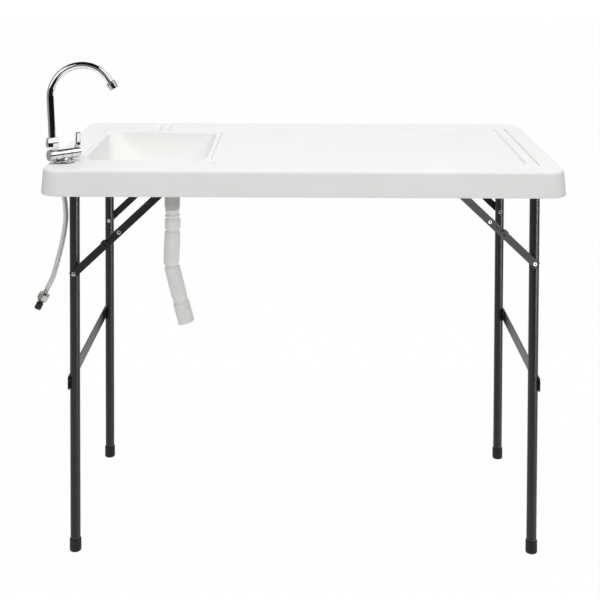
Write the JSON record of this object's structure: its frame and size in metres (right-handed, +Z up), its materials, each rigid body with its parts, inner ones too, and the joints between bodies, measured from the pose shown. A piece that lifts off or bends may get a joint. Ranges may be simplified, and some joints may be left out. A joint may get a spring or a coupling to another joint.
{
  "type": "folding fish cleaning table",
  "caption": "Folding moulded work table with a sink, gooseneck faucet, drain hose, water supply hose and two folding steel leg frames locked by jointed braces.",
  "frame": {"origin": "on the ground under the middle of the tabletop", "axes": "+X along the table to the right, away from the sink; +Y to the back; +Z up"},
  "size_m": [1.167, 0.6, 1.0883],
  "materials": {
    "white_top": "fine satin texture, moulded",
    "grey_plastic": "glossy",
    "pale_hose": "satin",
    "black_rubber": "matt",
    "strainer_steel": "brushed",
    "chrome": "polished chrome plate",
    "black_plastic": "satin",
    "nickel": "nickel plate",
    "braid": "woven steel braid",
    "dark_coat": "dark grey powder coat",
    "zinc": "bright zinc"
  },
  "bodies": {
    "table": {"tabletop": "white_top", "faucet_flange": "chrome", "faucet_pad": "black_rubber", "faucet_body": "chrome", "shank_washer": "black_rubber", "shank_lock_nut": "nickel", "hose_top_nut": "nickel", "supply_hose": "braid", "hose_ferrule": "nickel", "hose_end_nut": "nickel", "hose_adapter": "black_plastic", "drain_strainer": "strainer_steel", "drain_gasket": "black_rubber", "drain_lock_nut": "grey_plastic", "drain_coupling": "grey_plastic", "drain_hose": "pale_hose", "left_front_bracket": "dark_coat", "left_front_brace_pin": "zinc", "left_front_pivot_bolt": "zinc", "left_rear_bracket": "dark_coat", "left_rear_brace_pin": "zinc", "left_rear_pivot_bolt": "zinc", "right_front_bracket": "dark_coat", "right_front_brace_pin": "zinc", "right_front_pivot_bolt": "zinc", "right_rear_bracket": "dark_coat", "right_rear_brace_pin": "zinc", "right_rear_pivot_bolt": "zinc"},
    "left_leg_frame": {"left_cross_tube": "dark_coat", "left_crossbar": "dark_coat", "left_front_leg": "dark_coat", "left_front_foot_cap": "black_plastic", "left_front_leg_rivet": "zinc", "left_rear_leg": "dark_coat", "left_rear_foot_cap": "black_plastic", "left_rear_leg_rivet": "zinc"},
    "left_front_upper_arm_body": {"left_front_upper_arm": "dark_coat"},
    "left_front_lower_arm_body": {"left_front_lower_arm": "dark_coat"},
    "left_rear_upper_arm_body": {"left_rear_upper_arm": "dark_coat"},
    "left_rear_lower_arm_body": {"left_rear_lower_arm": "dark_coat"},
    "right_leg_frame": {"right_cross_tube": "dark_coat", "right_crossbar": "dark_coat", "right_front_leg": "dark_coat", "right_front_foot_cap": "black_plastic", "right_front_leg_rivet": "zinc", "right_rear_leg": "dark_coat", "right_rear_foot_cap": "black_plastic", "right_rear_leg_rivet": "zinc"},
    "right_front_upper_arm_body": {"right_front_upper_arm": "dark_coat"},
    "right_front_lower_arm_body": {"right_front_lower_arm": "dark_coat"},
    "right_rear_upper_arm_body": {"right_rear_upper_arm": "dark_coat"},
    "right_rear_lower_arm_body": {"right_rear_lower_arm": "dark_coat"},
    "faucet_fold_section": {"fold_elbow": "chrome", "fold_end_cap": "chrome", "spout_nut": "chrome"},
    "spout": {"spout_pipe": "chrome", "aerator": "chrome"},
    "valve": {"valve_hub": "chrome", "valve_lever": "chrome", "lever_screw": "black_plastic"}
  },
  "joints": [
    {"name": "left_leg_fold", "type": "hinge", "parent": "table", "child": "left_leg_frame", "pos_m": [-0.504, 0, 0.8197], "axis": [0, -1, 0], "range_deg": [0, 90]},
    {"name": "left_front_brace_fold", "type": "hinge", "parent": "table", "child": "left_front_upper_arm_body", "pos_m": [-0.29422, -0.2391, 0.8197], "axis": [0, 1, 0], "range_deg": [0, 43.25]},
    {"name": "left_front_elbow_fold", "type": "hinge", "parent": "left_front_upper_arm_body", "child": "left_front_lower_arm_body", "pos_m": [-0.40377, -0.2391, 0.71683], "axis": [0, -1, 0], "range_deg": [0, 180]},
    {"name": "left_rear_brace_fold", "type": "hinge", "parent": "table", "child": "left_rear_upper_arm_body", "pos_m": [-0.29422, 0.2391, 0.8197], "axis": [0, 1, 0], "range_deg": [0, 43.25]},
    {"name": "left_rear_elbow_fold", "type": "hinge", "parent": "left_rear_upper_arm_body", "child": "left_rear_lower_arm_body", "pos_m": [-0.40377, 0.2391, 0.71683], "axis": [0, -1, 0], "range_deg": [0, 180]},
    {"name": "right_leg_fold", "type": "hinge", "parent": "table", "child": "right_leg_frame", "pos_m": [0.509, 0, 0.8462], "axis": [0, 1, 0], "range_deg": [0, 90]},
    {"name": "right_front_brace_fold", "type": "hinge", "parent": "table", "child": "right_front_upper_arm_body", "pos_m": [0.29922, -0.2391, 0.8462], "axis": [0, -1, 0], "range_deg": [0, 43.25]},
    {"name": "right_front_elbow_fold", "type": "hinge", "parent": "right_front_upper_arm_body", "child": "right_front_lower_arm_body", "pos_m": [0.40877, -0.2391, 0.74333], "axis": [0, 1, 0], "range_deg": [0, 180]},
    {"name": "right_rear_brace_fold", "type": "hinge", "parent": "table", "child": "right_rear_upper_arm_body", "pos_m": [0.29922, 0.2391, 0.8462], "axis": [0, -1, 0], "range_deg": [0, 43.25]},
    {"name": "right_rear_elbow_fold", "type": "hinge", "parent": "right_rear_upper_arm_body", "child": "right_rear_lower_arm_body", "pos_m": [0.40877, 0.2391, 0.74333], "axis": [0, 1, 0], "range_deg": [0, 180]},
    {"name": "spout_fold", "type": "hinge", "parent": "table", "child": "faucet_fold_section", "pos_m": [-0.5299, -0.2138, 0.883], "axis": [-0.766, -0.6428, 0], "range_deg": [0, 84.5]},
    {"name": "spout_swivel", "type": "hinge", "parent": "faucet_fold_section", "child": "spout", "pos_m": [-0.55028, -0.2309, 0.883], "axis": [-0.0616, 0.0734, 0.9954], "range_deg": [-320, 40]},
    {"name": "valve_turn", "type": "hinge", "parent": "table", "child": "valve", "pos_m": [-0.5299, -0.2138, 0.883], "axis": [0.766, 0.6428, 0], "range_deg": [0, 90]}
  ],
  "couplings": [
    {"joint": "left_front_brace_fold", "follows": "left_leg_fold", "ratio": 0.48001},
    {"joint": "left_front_elbow_fold", "follows": "left_leg_fold", "ratio": 2},
    {"joint": "left_rear_brace_fold", "follows": "left_leg_fold", "ratio": 0.48001},
    {"joint": "left_rear_elbow_fold", "follows": "left_leg_fold", "ratio": 2},
    {"joint": "right_front_brace_fold", "follows": "right_leg_fold", "ratio": 0.48001},
    {"joint": "right_front_elbow_fold", "follows": "right_leg_fold", "ratio": 2},
    {"joint": "right_rear_brace_fold", "follows": "right_leg_fold", "ratio": 0.48001},
    {"joint": "right_rear_elbow_fold", "follows": "right_leg_fold", "ratio": 2}
  ]
}
